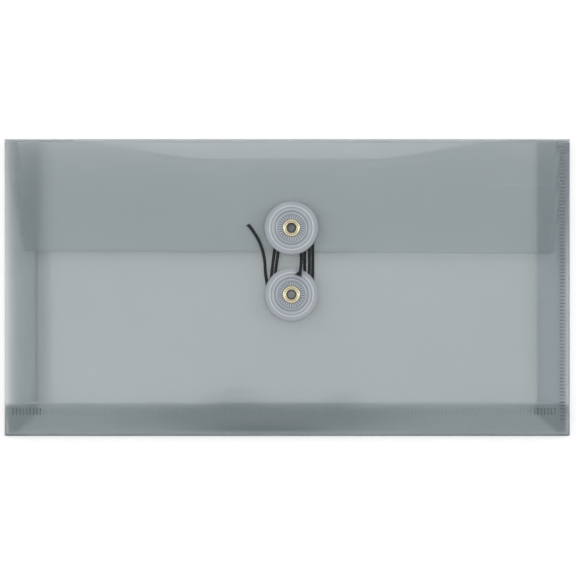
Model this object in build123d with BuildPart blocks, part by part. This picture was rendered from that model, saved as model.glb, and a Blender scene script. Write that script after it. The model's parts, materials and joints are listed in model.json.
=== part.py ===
from build123d import *

import math
import os

# String tie envelope: a film pocket with side and bottom gussets and a flap, two
# buttons on brass eyelets, and a string wound round both buttons. It lies on its
# back: +X to the right, +Y towards the flap's fold, +Z out of the front, and z = 0
# on the table. All lengths are in millimetres, all angles in degrees.

# Envelope
env_width = 254.0
env_height = 133.35
film = 0.25
pocket_depth = 6.0

# Flap and the fold that it turns over at
flap_length = 50.8
flap_taper = 8.0
flap_corner_radius = 3.5
flap_gap = 0.7
fold_radius = 1.0

# Front panel, with a thumb scoop along its top edge
scoop_width = 188.0
scoop_depth = 8.3
scoop_shift = 1.3
front_edge_gap = 0.325

# Gussets: each has a rear half and a front half that meet at an inner crease
gusset_depth = 14.8
crease_radius = 0.6
outer_wrap = 115.0
inner_wrap = 25.0
mitre_setback = 6.5
gusset_end_gap = 0.35

# Welded laps where the edges of the film overlap
side_lap_width = 4.4
side_lap_inset = 1.0
bottom_lap_width = 2.8
bottom_lap_inset = 0.4

# Buttons: a ringed disc on a neck, the same at both places
button_x = 1.9
upper_button_from_edge = 10.925
button_spacing = 29.9
disc_radius = 12.05
disc_thickness = 0.9
disc_rim_round = 0.3
neck_radius = 3.05
neck_height = 2.8
boss_radius = 6.4
boss_height = 0.6
ridge_height = 0.28
ridge_shares = (0.573, 0.714, 0.813)

# Brass eyelets that hold the buttons
eyelet_hole_radius = 2.18
eyelet_wall = 0.32
eyelet_flange_radius = 4.0
eyelet_flange_thickness = 0.55
eyelet_flange_round = 0.25
back_flange_radius = 3.6
back_flange_thickness = 0.3
running_clearance = 0.05

# String
string_diameter = 1.5
strand_gap = 0.45
string_lift = 0.5
lower_string_lift = 0.75
hub_clearance = 0.1
turns = 2
free_strand_x = 11.2
tail_turn_radius = 2.25
end_run = 4.2
run_share = 0.45

# Levels and edges that several pieces share
half_film = film / 2
crease_outer = crease_radius + half_film
crease_inner = crease_radius - half_film
side_x = env_width / 2
top_y = env_height / 2
front_level = film + pocket_depth
front_top = front_level + film
flap_level = front_top + flap_gap
flap_top = flap_level + film
fold_outer = fold_radius + half_film
fold_inner = fold_radius - half_film
fold_y = top_y - fold_outer
fold_low_z = fold_outer
fold_high_z = flap_top - fold_outer
flap_edge_y = top_y - flap_length
front_edge_y = top_y - film - front_edge_gap

# Hinge lines of the gussets: A at the back, C at the front, B at the inner crease
hinge_a_z = crease_outer
hinge_c_z = front_top - crease_outer
hinge_x = side_x - crease_outer
hinge_y = crease_outer - top_y
link_run = gusset_depth - 2 * crease_outer
link_rise = (hinge_c_z - hinge_a_z) / 2
link_length = math.hypot(link_run, link_rise)
link_angle = math.degrees(math.atan2(link_rise, link_run))
half_slope = link_angle - math.degrees(math.asin(2 * crease_radius / link_length))
half_length = math.sqrt(link_length**2 - (2 * crease_radius) ** 2)
gusset_top_y = fold_y - gusset_end_gap
gusset_end_x = side_x - 2 * crease_outer - gusset_end_gap

# Places of the buttons
upper_button_y = flap_edge_y + upper_button_from_edge
lower_button_y = upper_button_y - button_spacing
barrel_radius = eyelet_hole_radius + eyelet_wall
bore_radius = barrel_radius + running_clearance
disc_top = neck_height + disc_thickness
boss_top = disc_top + boss_height
flange_bottom = boss_top + running_clearance
flange_top = flange_bottom + eyelet_flange_thickness

os.makedirs("parts", exist_ok=True)


def keep(solid, name):
    """Labels a finished piece and writes its file."""
    solid.label = name
    export_step(solid, f"parts/{name}.step")


def polar(centre, radius, angle):
    """The point at that radius and angle from a centre, in a sketch."""
    turn = math.radians(angle)
    return (
        centre[0] + radius * math.cos(turn),
        centre[1] + radius * math.sin(turn),
    )


def gusset_half(plane, half_span):
    """One half of a gusset: a flat strip that starts round its outer hinge line, at the
    plane's origin, and ends round the inner one. It runs half_span both ways."""
    outer = (0, 0)
    inner = polar(outer, link_length, link_angle)
    over = half_slope + 90
    under = half_slope - 90
    with BuildPart() as half:
        with BuildSketch(plane):
            with BuildLine():
                CenterArc(outer, crease_outer, over, outer_wrap)
                Line(polar(outer, crease_outer, over), polar(inner, crease_inner, under))
                CenterArc(inner, crease_inner, under, inner_wrap)
                Line(
                    polar(inner, crease_inner, under + inner_wrap),
                    polar(inner, crease_outer, under + inner_wrap),
                )
                CenterArc(inner, crease_outer, under, inner_wrap)
                Line(polar(inner, crease_outer, under), polar(outer, crease_inner, over))
                CenterArc(outer, crease_inner, over, outer_wrap)
                Line(
                    polar(outer, crease_inner, over + outer_wrap),
                    polar(outer, crease_outer, over + outer_wrap),
                )
            make_face()
        extrude(amount=half_span, both=True)
    return half


def side_half(side, level, up):
    """A side gusset's half, mitred at its lower end to clear the bottom gusset. side is
    -1 for left and 1 for right, and up is 1 for the rear half and -1 for the front."""
    inward = Vector(-side, 0, 0)
    plane = Plane((side * hinge_x, 0, level), x_dir=inward, z_dir=inward.cross(Vector(0, 0, up)))
    half = gusset_half(plane, top_y)
    with BuildPart() as mitred:
        add(half.part)
        with BuildSketch():
            with BuildLine():
                Polyline(
                    (side * side_x, gusset_top_y),
                    (side * (side_x - gusset_depth), gusset_top_y),
                    (side * (side_x - gusset_depth), mitre_setback + gusset_depth - top_y),
                    (side * side_x, mitre_setback - top_y),
                    close=True,
                )
            make_face()
        extrude(amount=front_top, mode=Mode.INTERSECT)
    return mitred


def bottom_plane(level, up):
    """The sketch plane of a bottom gusset's half, at the middle of its length."""
    inward = Vector(0, 1, 0)
    return Plane((0, hinge_y, level), x_dir=inward, z_dir=inward.cross(Vector(0, 0, up)))


def fold_strip(first_angle, centre_z):
    """A quarter bend of film across the whole width, round one crease of the fold."""
    with BuildPart() as strip:
        with BuildSketch(Plane.YZ):
            with BuildLine():
                outer = CenterArc((fold_y, centre_z), fold_outer, first_angle, 90)
                inner = CenterArc((fold_y, centre_z), fold_inner, first_angle, 90)
                Line(outer @ 0, inner @ 0)
                Line(outer @ 1, inner @ 1)
            make_face()
        extrude(amount=side_x, both=True)
    return strip


def button_disc(y, sheet_top):
    """A moulded disc with its neck, bored to turn on the eyelet's barrel."""
    with BuildPart() as disc:
        with BuildSketch(Plane((button_x, y, sheet_top), x_dir=(1, 0, 0), z_dir=(0, -1, 0))):
            with BuildLine():
                Polyline(
                    (bore_radius, running_clearance),
                    (neck_radius, running_clearance),
                    (neck_radius, neck_height),
                    (disc_radius, neck_height),
                    (disc_radius, disc_top),
                    (boss_radius, disc_top),
                    (boss_radius, boss_top),
                    (bore_radius, boss_top),
                    close=True,
                )
            make_face()
            with Locations(*[(share * disc_radius, disc_top) for share in ridge_shares]):
                Circle(ridge_height)
        revolve(axis=Axis((button_x, y, 0), (0, 0, 1)))
        rim = disc.edges().filter_by(GeomType.CIRCLE).sort_by(SortBy.RADIUS)[-2:]
        fillet(rim, radius=min(disc_rim_round, disc_thickness / 3))
    return disc


def eyelet(y, sheet_top):
    """A rolled eyelet: a flange on the disc, a barrel, and a flange behind the film."""
    back_top = -film
    back_bottom = back_top - back_flange_thickness
    with BuildPart() as part:
        with BuildSketch(Plane((button_x, y, sheet_top), x_dir=(1, 0, 0), z_dir=(0, -1, 0))):
            with BuildLine():
                Polyline(
                    (eyelet_hole_radius, back_bottom),
                    (back_flange_radius, back_bottom),
                    (back_flange_radius, back_top),
                    (barrel_radius, back_top),
                    (barrel_radius, flange_bottom),
                    (eyelet_flange_radius, flange_bottom),
                    (eyelet_flange_radius, flange_top),
                    (eyelet_hole_radius, flange_top),
                    close=True,
                )
            make_face()
        revolve(axis=Axis((button_x, y, 0), (0, 0, 1)))
        top_face = part.faces().sort_by(Axis.Z)[-1]
        flange_width = eyelet_flange_radius - eyelet_hole_radius
        fillet(top_face.edges(), radius=min(eyelet_flange_round, flange_width / 3))
    return part


# Back panel: a flat sheet, as wide as the fold along its top edge
with BuildPart() as back_panel:
    with BuildSketch():
        with BuildLine():
            Polyline(
                (-hinge_x, hinge_y),
                (hinge_x, hinge_y),
                (hinge_x, gusset_top_y),
                (side_x, gusset_top_y),
                (side_x, fold_y),
                (-side_x, fold_y),
                (-side_x, gusset_top_y),
                (-hinge_x, gusset_top_y),
                close=True,
            )
        make_face()
    extrude(amount=film)
keep(back_panel.part, "back_panel")

# Fold: a bend up from the back panel, a low wall of film, and a bend over into the flap
keep(fold_strip(-90, fold_low_z).part, "fold_lower_bend")
with BuildPart() as fold_wall:
    with BuildSketch(Plane.XY.offset(fold_low_z)):
        with Locations((0, top_y - half_film)):
            Rectangle(env_width, film)
    extrude(amount=fold_high_z - fold_low_z)
keep(fold_wall.part, "fold_wall")
keep(fold_strip(0, fold_high_z).part, "fold_upper_bend")

# Flap: tapers from the full width at the fold to its rounded lower corners
with BuildPart() as flap:
    with BuildSketch(Plane.XY.offset(flap_level)) as flap_outline:
        with BuildLine():
            Polyline(
                (-side_x, fold_y),
                (side_x, fold_y),
                (side_x - flap_taper, flap_edge_y),
                (flap_taper - side_x, flap_edge_y),
                close=True,
            )
        make_face()
        fillet(flap_outline.vertices().group_by(Axis.Y)[0], radius=flap_corner_radius)
        with Locations((button_x, upper_button_y)):
            Circle(bore_radius, mode=Mode.SUBTRACT)
    extrude(amount=film)
keep(flap.part, "flap")

# Front panel: its top edge dips in one shallow arc
with BuildPart() as front_panel:
    with BuildSketch(Plane.XY.offset(front_level)):
        with BuildLine():
            scoop_left = (scoop_shift - scoop_width / 2, front_edge_y)
            scoop_right = (scoop_shift + scoop_width / 2, front_edge_y)
            Polyline(
                scoop_left,
                (-hinge_x, front_edge_y),
                (-hinge_x, hinge_y),
                (hinge_x, hinge_y),
                (hinge_x, front_edge_y),
                scoop_right,
            )
            ThreePointArc(scoop_right, (scoop_shift, front_edge_y - scoop_depth), scoop_left)
        make_face()
        with Locations((button_x, lower_button_y)):
            Circle(bore_radius, mode=Mode.SUBTRACT)
    extrude(amount=film)
keep(front_panel.part, "front_panel")

# Side gussets
for side, side_name in ((-1, "left"), (1, "right")):
    keep(side_half(side, hinge_a_z, 1).part, f"{side_name}_gusset_rear")
    keep(side_half(side, hinge_c_z, -1).part, f"{side_name}_gusset_front")

# Bottom gusset, which runs across the corners inside the side gussets
keep(gusset_half(bottom_plane(hinge_a_z, 1), gusset_end_x).part, "bottom_gusset_rear")
keep(gusset_half(bottom_plane(hinge_c_z, -1), gusset_end_x).part, "bottom_gusset_front")

# Side seam: a lap of film under the front panel along its right edge
with BuildPart() as side_seam_lap:
    with BuildSketch(Plane.XY.offset(front_level - film)):
        with Locations((side_x - side_lap_inset, front_edge_y)):
            Rectangle(side_lap_width, front_edge_y - hinge_y, align=(Align.MAX, Align.MAX))
    extrude(amount=film)
keep(side_seam_lap.part, "side_seam_lap")

# Bottom seam: a lap of film in the bottom gusset's groove, on its front half
with BuildPart() as bottom_seam_lap:
    with BuildSketch(bottom_plane(hinge_c_z, -1)):
        seat = polar((0, 0), crease_outer + half_film, half_slope + 90)
        lap_middle = half_length - bottom_lap_inset - bottom_lap_width / 2
        with Locations(Location((*polar(seat, lap_middle, half_slope), 0), (0, 0, half_slope))):
            Rectangle(bottom_lap_width, film)
    extrude(amount=gusset_end_x, both=True)
keep(bottom_seam_lap.part, "bottom_seam_lap")

# Buttons and their eyelets
keep(button_disc(upper_button_y, flap_top).part, "upper_disc")
keep(button_disc(lower_button_y, front_top).part, "lower_disc")
keep(eyelet(upper_button_y, flap_top).part, "upper_eyelet")
keep(eyelet(lower_button_y, front_top).part, "lower_eyelet")

# String winding: tied round the upper neck, then wound clockwise round both necks, in
# a plane that leans from the lower button up to the flap's
string_radius = string_diameter / 2
strand_pitch = string_diameter + strand_gap
tie_reach = neck_radius + string_radius + hub_clearance
string_low_z = front_top + lower_string_lift + string_radius
string_high_z = flap_top + string_lift + string_radius
string_rise = string_high_z - string_low_z
string_plane = Plane(
    (button_x, lower_button_y, string_low_z),
    x_dir=(1, 0, 0),
    z_dir=(0, -string_rise, button_spacing),
)
span = math.hypot(button_spacing, string_rise)
right_strands = [tie_reach + (n + 1) * strand_pitch for n in range(turns + 1)]
left_strands = right_strands[:turns] + [free_strand_x]
tail_y = span - tie_reach - tail_turn_radius


def string_point(x, y):
    """A point of the winding's plane, in the part's frame."""
    return string_plane.from_local_coords((x, y, 0))


def half_turn(x_from, x_to, y, bulge):
    """A half circle between two strands, round the top (bulge 1) or the bottom (-1)."""
    middle = (x_from + x_to) / 2
    radius = abs(x_to - x_from) / 2
    ThreePointArc((x_from, y), (middle, y + bulge * radius), (x_to, y))


def tube(path, name):
    """Sweeps the string's round section along a path, and says how true its volume is."""
    with BuildPart() as string:
        with BuildSketch(Plane(path @ 0, z_dir=path % 0)):
            Circle(string_radius)
        sweep(path=path)
    volume_ratio = string.part.volume / (math.pi * string_radius**2 * path.length)
    print(f"{name}: {path.length:.1f} mm long, volume {volume_ratio:.4f} of section times length")
    return string


with BuildLine(string_plane) as winding:
    CenterArc((tie_reach - tail_turn_radius, tail_y), tail_turn_radius, 0, 90)
    Line((tie_reach - tail_turn_radius, span - tie_reach), (0, span - tie_reach))
    CenterArc((0, span), tie_reach, 270, -90)
    half_turn(-tie_reach, right_strands[0], span, 1)
    for n in range(turns + 1):
        Line((right_strands[n], span), (right_strands[n], 0))
        half_turn(right_strands[n], -left_strands[n], 0, -1)
        if n < turns:
            Line((-left_strands[n], 0), (-left_strands[n], span))
            half_turn(-left_strands[n], right_strands[n + 1], span, 1)
winding_path = winding.wire()
string_winding = tube(winding_path, "string_winding")
keep(string_winding.part, "string_winding")

# Least gap between the winding's turns, measured on points along it
step = string_radius / 2
count = math.ceil(winding_path.length / step)
points = [tuple(winding_path @ (n / count)) for n in range(count + 1)]
apart = math.ceil(math.pi * string_diameter / step)
nearest = min(
    math.dist(points[a], points[b]) for a in range(len(points)) for b in range(a + apart, len(points))
)
print(f"string_winding: least gap to itself {nearest - string_diameter:.2f} mm")


def free_stretch(route, name):
    """A free stretch of string along a route, its corners rounded as far as they allow."""
    runs = [b - a for a, b in zip(route, route[1:])]
    radii = []
    for before, after in zip(runs, runs[1:]):
        half = math.radians(before.get_angle(after)) / 2
        radii.append(run_share * min(before.length, after.length) / math.tan(half))
    print(f"{name}: bend radii {[round(r, 1) for r in radii]}")
    with BuildLine() as line:
        FilletPolyline(*route, radius=radii)
    stretch = tube(line.wire(), name)
    keep(stretch.part, name)


# Free end: leaves the lower button's left side and lies across the flap's edge
free_route = [
    string_point(-free_strand_x, 0),
    string_point(-free_strand_x, end_run),
    Vector(-9.55, 6.0, 8.15),
    Vector(-9.95, 11.2, 8.35),
    Vector(-10.75, 16.0, 8.5),
    Vector(-12.25, 20.3, 8.55),
    Vector(-14.6, 24.5, 8.5),
    Vector(-17.0, 27.7, 8.52),
]
free_stretch(free_route, "string_free_end")

# Tail: the short end of the knot, which comes down over the lower button's rim
tail_route = [
    string_point(tie_reach, tail_y),
    string_point(tie_reach, tail_y - end_run),
    Vector(5.75, 12.9, 9.6),
    Vector(5.65, 9.7, 11.25),
    Vector(5.6, 6.9, 11.4),
]
free_stretch(tail_route, "string_tail")
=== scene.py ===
import json
import math
import random

import bmesh
import bpy
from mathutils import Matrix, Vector


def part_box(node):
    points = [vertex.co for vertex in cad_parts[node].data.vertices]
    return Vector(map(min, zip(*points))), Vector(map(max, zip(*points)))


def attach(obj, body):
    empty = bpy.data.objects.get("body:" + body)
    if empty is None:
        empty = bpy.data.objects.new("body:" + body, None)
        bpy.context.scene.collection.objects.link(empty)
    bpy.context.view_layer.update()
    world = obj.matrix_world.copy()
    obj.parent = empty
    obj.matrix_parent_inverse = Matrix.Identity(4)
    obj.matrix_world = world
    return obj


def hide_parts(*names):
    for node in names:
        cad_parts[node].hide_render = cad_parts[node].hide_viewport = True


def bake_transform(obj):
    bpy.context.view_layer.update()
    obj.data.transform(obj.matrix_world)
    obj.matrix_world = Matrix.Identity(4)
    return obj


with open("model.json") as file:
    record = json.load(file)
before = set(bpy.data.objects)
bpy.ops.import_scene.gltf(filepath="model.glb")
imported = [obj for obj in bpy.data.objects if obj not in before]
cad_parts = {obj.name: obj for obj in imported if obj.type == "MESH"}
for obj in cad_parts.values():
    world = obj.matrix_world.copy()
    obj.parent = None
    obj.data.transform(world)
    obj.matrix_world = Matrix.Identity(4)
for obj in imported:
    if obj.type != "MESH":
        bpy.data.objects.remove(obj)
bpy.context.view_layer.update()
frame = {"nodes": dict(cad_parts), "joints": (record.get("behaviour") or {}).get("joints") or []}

# String tie envelope: a pocket and flap of translucent film, two buttons on brass
# eyelets, and a braided string. It lies on its back: +X right, +Y towards the flap's
# fold, +Z out of the front. Sizes are in millimetres, and become metres in each mesh.
MM = 0.001


def node_box(node):
    """A CAD node's lowest and highest corners, in millimetres."""
    low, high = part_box(node)
    return low / MM, high / MM


def hinge_line(joint_name):
    """A point on the axis of a joint, in millimetres."""
    joint = next(j for j in frame["joints"] if j["name"] == joint_name)
    return Vector(joint["pos_m"]) / MM


def add_object(name, data):
    """A new object in the scene."""
    thing = bpy.data.objects.new(name, data)
    bpy.context.scene.collection.objects.link(thing)
    return thing


# Levels and edges of the film
back_low, back_high = node_box("back_panel")
front_low, front_high = node_box("front_panel")
flap_low, flap_high = node_box("flap")
side_gusset_low, side_gusset_high = node_box("left_gusset_rear")
film = back_high.z - back_low.z
half_film = film / 2
side_x = flap_high.x
top_y = node_box("fold_wall")[1].y
front_mid_z = front_high.z - half_film
flap_mid_z = flap_high.z - half_film

# Hinge lines of a gusset, as distance in from the outer edge and height
hinge_a = hinge_line("left_rear_crease")
hinge_b = hinge_line("left_inner_crease")
crease_radius = hinge_a.z - half_film
outer_hinge = Vector((hinge_a.x + side_x, hinge_a.z))
inner_hinge = Vector((hinge_b.x + side_x, hinge_b.z))
crease_outer = crease_radius + half_film

# Buttons
disc_low, disc_high = node_box("upper_disc")
lower_disc_low, lower_disc_high = node_box("lower_disc")
eyelet_low, eyelet_high = node_box("upper_eyelet")
upper_button = (disc_low + disc_high) / 2
lower_button = (lower_disc_low + lower_disc_high) / 2
disc_radius = (disc_high.x - disc_low.x) / 2
flange_radius = (eyelet_high.x - eyelet_low.x) / 2


# Camera: straight down on the front, as the photograph is taken, with the envelope's middle at
# the centre that is given in pixels
FRAME_PX = 576
PX_PER_MM = 2.227
CENTRE_PX = (287.2, 287.65)
CAMERA_HEIGHT = 2000.0
SENSOR_WIDTH = 36.0
VIEW_END_METRES = 100.0
camera_data = bpy.data.cameras.new("camera")
camera = add_object("camera", camera_data)
bpy.context.scene.camera = camera
frame_width = FRAME_PX / PX_PER_MM
camera_data.sensor_width = SENSOR_WIDTH
camera_data.lens = SENSOR_WIDTH * (CAMERA_HEIGHT - front_high.z) / frame_width
camera_data.clip_end = VIEW_END_METRES
camera.location = Vector(
    (
        (FRAME_PX / 2 - CENTRE_PX[0]) / PX_PER_MM,
        (CENTRE_PX[1] - FRAME_PX / 2) / PX_PER_MM,
        CAMERA_HEIGHT,
    )
) * MM


# Colours and nodes
def colour(hex_code):
    """An sRGB hex colour as linear red, green, blue and alpha."""
    channels = [int(hex_code[n : n + 2], 16) / 255 for n in (1, 3, 5)]
    return [c / 12.92 if c <= 0.04045 else ((c + 0.055) / 1.055) ** 2.4 for c in channels] + [1.0]


def add_node(tree, kind, inputs, **settings):
    """Adds a shader node with its settings. An input that is a socket is linked, any other is a value."""
    node = tree.nodes.new("ShaderNode" + kind)
    for name, value in settings.items():
        setattr(node, name, value)
    for name, value in inputs.items():
        if isinstance(value, bpy.types.NodeSocket):
            tree.links.new(value, node.inputs[name])
        else:
            node.inputs[name].default_value = value
    return node


def per_metre(size_mm):
    """The texture scale at which a pattern repeats about every size_mm."""
    return 1 / (size_mm * MM)


def new_material(name):
    """An empty node material and its tree."""
    material = bpy.data.materials.new(name)
    material.use_nodes = True
    material.node_tree.nodes.clear()
    return material, material.node_tree


# Places of a mix node's sockets when it mixes colours
MIX_FACTOR, MIX_A, MIX_B, MIX_RESULT = 0, 6, 7, 2


def polypropylene_film(name, tint, density_and_shade_tint, pale_tint, alpha, density_and_shade_alpha, pale_alpha):
    """Extruded polypropylene film, smoke tinted: each layer dims and blurs what is behind it and adds a
    cool grey haze. It is darker on edge and in a weld, darker with painted shade beside folds, under the
    flap and behind the eyelets, pale with painted light along its folds, and clear where its edge lies
    tight on the film below."""
    # The matt grain of real film is too fine to show, so it is drawn coarser
    cloud_mm, grain_mm = 70.0, 0.9
    cloud_share = 0.07
    grain_depth_mm, scatter_mm = 0.02, 0.4
    material, tree = new_material(name)
    place = add_node(tree, "TexCoord", {}).outputs["Object"]
    cloud = add_node(tree, "TexNoise", {"Vector": place, "Scale": per_metre(cloud_mm), "Detail": 1.0})
    grain = add_node(tree, "TexNoise", {"Vector": place, "Scale": per_metre(grain_mm), "Detail": 2.0})
    dense, pale, clear = (
        add_node(tree, "Attribute", {}, attribute_name=look).outputs["Fac"]
        for look in ("dense", "pale", "clear")
    )
    base = colour(tint)
    for share, tinted in ((dense, density_and_shade_tint), (pale, pale_tint)):
        base = add_node(
            tree,
            "Mix",
            {MIX_FACTOR: share, MIX_A: base, MIX_B: colour(tinted)},
            data_type="RGBA",
        ).outputs[MIX_RESULT]
    least, most = alpha * (1 - cloud_share), alpha * (1 + cloud_share)
    cover = add_node(tree, "MapRange", {"Value": cloud.outputs["Fac"], "To Min": least, "To Max": most})
    for share, covered in ((dense, density_and_shade_alpha), (pale, pale_alpha), (clear, 0.0)):
        cover = add_node(
            tree, "MapRange", {"Value": share, "To Min": cover.outputs[0], "To Max": covered}
        )
    bump = add_node(
        tree,
        "Bump",
        {"Height": grain.outputs["Fac"], "Strength": 0.04, "Distance": grain_depth_mm * MM},
    )
    surface = add_node(
        tree,
        "BsdfPrincipled",
        {
            "Base Color": base,
            "Roughness": 0.32,
            "IOR": 1.49,
            "Subsurface Weight": 1.0,
            "Subsurface Radius": (1.0, 1.0, 1.0),
            "Subsurface Scale": scatter_mm * MM,
            "Alpha": cover.outputs[0],
            "Normal": bump.outputs["Normal"],
        },
    )
    add_node(tree, "OutputMaterial", {"Surface": surface.outputs[0]})
    return material


def frosted_polyethylene():
    """Natural polyethylene, injection moulded in a blasted tool. How milky it is holds painted highlight
    on the ridges and painted shade in the grooves and the knurl's gaps, partly following how thick the
    disc is there. Thin grooves show the smoke film behind in a faint lavender cast."""
    # The pits that a blasted tool leaves are too fine to show, so they are drawn coarser
    mottle_mm, blast_mm, blast_depth_mm = 5.0, 0.25, 0.02
    mottle_share, thin_cover = 0.08, 0.86
    material, tree = new_material("frosted_polyethylene")
    place = add_node(tree, "TexCoord", {}).outputs["Object"]
    mottle = add_node(tree, "TexNoise", {"Vector": place, "Scale": per_metre(mottle_mm), "Detail": 2.0})
    blast = add_node(tree, "TexNoise", {"Vector": place, "Scale": per_metre(blast_mm), "Detail": 1.0})
    milky = add_node(tree, "Attribute", {}, attribute_name="milky").outputs["Fac"]
    uneven = add_node(
        tree,
        "MapRange",
        {"Value": mottle.outputs["Fac"], "To Min": -mottle_share, "To Max": mottle_share},
    )
    milky = add_node(tree, "Math", {0: milky, 1: uneven.outputs[0]}, operation="ADD", use_clamp=True)
    base = add_node(
        tree,
        "Mix",
        {MIX_FACTOR: milky.outputs[0], MIX_A: colour("#757d87"), MIX_B: colour("#d4dade")},
        data_type="RGBA",
    )
    solid = add_node(tree, "Attribute", {}, attribute_name="solid").outputs["Fac"]
    cover = add_node(tree, "MapRange", {"Value": solid, "To Min": thin_cover, "To Max": 1.0})
    bump = add_node(
        tree,
        "Bump",
        {"Height": blast.outputs["Fac"], "Strength": 0.1, "Distance": blast_depth_mm * MM},
    )
    surface = add_node(
        tree,
        "BsdfPrincipled",
        {
            "Base Color": base.outputs[MIX_RESULT],
            "Roughness": 0.36,
            "IOR": 1.51,
            "Alpha": cover.outputs[0],
            "Normal": bump.outputs["Normal"],
        },
    )
    add_node(tree, "OutputMaterial", {"Surface": surface.outputs[0]})
    return material


def polished_brass():
    """Drawn and rolled brass sheet, bright dipped: a pale yellow mirror with fine draw lines that
    soften its highlights, and olive brown painted shade in its bore, its groove and under its edge."""
    # Real draw lines are too fine to show, so they are drawn coarser
    draw_mm, draw_depth_mm = 0.35, 0.02
    material, tree = new_material("polished_brass")
    place = add_node(tree, "TexCoord", {}).outputs["Object"]
    draw = add_node(tree, "TexNoise", {"Vector": place, "Scale": per_metre(draw_mm), "Detail": 3.0})
    rough = add_node(tree, "MapRange", {"Value": draw.outputs["Fac"], "To Min": 0.14, "To Max": 0.26})
    tarnish = add_node(tree, "Attribute", {}, attribute_name="tarnish").outputs["Fac"]
    base = add_node(
        tree,
        "Mix",
        {MIX_FACTOR: tarnish, MIX_A: colour("#ada78e"), MIX_B: colour("#584d30")},
        data_type="RGBA",
    )
    bump = add_node(
        tree,
        "Bump",
        {"Height": draw.outputs["Fac"], "Strength": 0.06, "Distance": draw_depth_mm * MM},
    )
    surface = add_node(
        tree,
        "BsdfPrincipled",
        {
            "Base Color": base.outputs[MIX_RESULT],
            "Metallic": 1.0,
            "Roughness": rough.outputs["Result"],
            "Normal": bump.outputs["Normal"],
        },
    )
    add_node(tree, "OutputMaterial", {"Surface": surface.outputs[0]})
    return material


def braided_polyester():
    """Braided polyester cord, dyed black: matt yarns with painted highlight on their crowns and painted
    shade in the near-black gaps between them."""
    # Real fibres are too fine to show, so they are drawn coarser, as a grain on the yarns
    fibre_mm, fibre_depth_mm = 0.12, 0.04
    material, tree = new_material("braided_polyester")
    place = add_node(tree, "TexCoord", {}).outputs["Object"]
    fibre = add_node(tree, "TexNoise", {"Vector": place, "Scale": per_metre(fibre_mm), "Detail": 2.0})
    yarn = add_node(tree, "Attribute", {}, attribute_name="yarn").outputs["Fac"]
    base = add_node(
        tree,
        "Mix",
        {MIX_FACTOR: yarn, MIX_A: colour("#050608"), MIX_B: colour("#1b2023")},
        data_type="RGBA",
    )
    bump = add_node(
        tree,
        "Bump",
        {"Height": fibre.outputs["Fac"], "Strength": 0.3, "Distance": fibre_depth_mm * MM},
    )
    surface = add_node(
        tree,
        "BsdfPrincipled",
        {
            "Base Color": base.outputs[MIX_RESULT],
            "Roughness": 0.7,
            "Specular IOR Level": 0.3,
            "Sheen Weight": 0.04,
            "Sheen Roughness": 0.4,
            "Normal": bump.outputs["Normal"],
        },
    )
    add_node(tree, "OutputMaterial", {"Surface": surface.outputs[0]})
    return material


# The film's tint, its darker tint for density and painted shade, its pale tint for painted light, and how
# much it covers in each of them
film_material = polypropylene_film(
    "smoke_polypropylene_film", "#a9b6b9", "#6a777b", "#f0f2f4", 0.274, 0.48, 0.68
)
seam_material = polypropylene_film(
    "smoke_polypropylene_welded", "#a8b4c3", "#717d88", "#f0f2f5", 0.21, 0.42, 0.68
)
lap_material = polypropylene_film(
    "smoke_polypropylene_lap", "#aab5c0", "#717d88", "#f0f2f5", 0.11, 0.42, 0.68
)
bar_material = polypropylene_film(
    "smoke_polypropylene_weld_bars", "#a9b3bd", "#5f6871", "#f0f2f5", 0.21, 0.8, 0.68
)
disc_material = frosted_polyethylene()
brass_material = polished_brass()
string_material = braided_polyester()


# Meshes
def new_piece(name, points, faces, material):
    """A smooth-shaded mesh object from points in millimetres, with its faces turned outwards."""
    mesh = bpy.data.meshes.new(name)
    mesh.from_pydata([Vector(p) * MM for p in points], [], faces)
    shape = bmesh.new()
    shape.from_mesh(mesh)
    bmesh.ops.recalc_face_normals(shape, faces=shape.faces[:])
    shape.to_mesh(mesh)
    shape.free()
    mesh.shade_smooth()
    mesh.materials.append(material)
    piece = add_object(name, mesh)
    return piece


def settle(piece):
    """Replaces a piece's mesh by what its modifiers make of it."""
    bpy.context.view_layer.update()
    evaluated = piece.evaluated_get(bpy.context.evaluated_depsgraph_get())
    mesh = bpy.data.meshes.new_from_object(evaluated)
    piece.modifiers.clear()
    piece.data = mesh


def paint(piece, attribute_name, value_at):
    """Stores a number on each point of a piece, worked out from its place and its normal."""
    attribute = piece.data.attributes.new(attribute_name, "FLOAT", "POINT")
    attribute.data.foreach_set("value", [value_at(v.co / MM, v.normal) for v in piece.data.vertices])


def smooth_step(low, high, value):
    """0 below low, 1 above high, and a soft ramp between. low may be the larger one."""
    t = min(max((value - low) / (high - low), 0), 1)
    return t * t * (3 - 2 * t)


# Painted light: film along the envelope's folded edges is painted pale: how much, how far in and how sharply
PALE_EDGES = {"left": (1.2, 3.4, 1), "right": (0.6, 2.7, 4), "top": (0.1, 2.0, 1), "bottom": (0.3, 1.1, 2)}
# The same for the sides below the bottom gusset's inner crease
PALE_LOW = {"left": (0.4, 0.9, 1), "right": (0.2, 2.2, 4)}
# The sides are paler the further they are from the mouth: share at the top, and where it is whole
PALE_TOP_SHARES = {"left": 0.7, "right": 0.05}
PALE_WHOLE_Y = -10.0
# The dark line on a folded edge: how dark, and how fast it comes in as the film turns on edge
EDGE_LINE = 1.5
EDGE_LINE_POWER = 0.7


def side_of(x):
    """The side of the envelope that a place lies on."""
    return "left" if x < 0 else "right"


def from_edges(p):
    """How far in a point lies from each edge of the envelope."""
    return {"left": p.x + side_x, "right": side_x - p.x, "top": top_y - p.y, "bottom": p.y + top_y}


def from_side(p):
    """How far in a point lies from the nearer side of the envelope."""
    return side_x - abs(p.x)


def radius_from(p, centre):
    """A point's distance from an upright axis."""
    return math.hypot(p.x - centre[0], p.y - centre[1])


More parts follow.
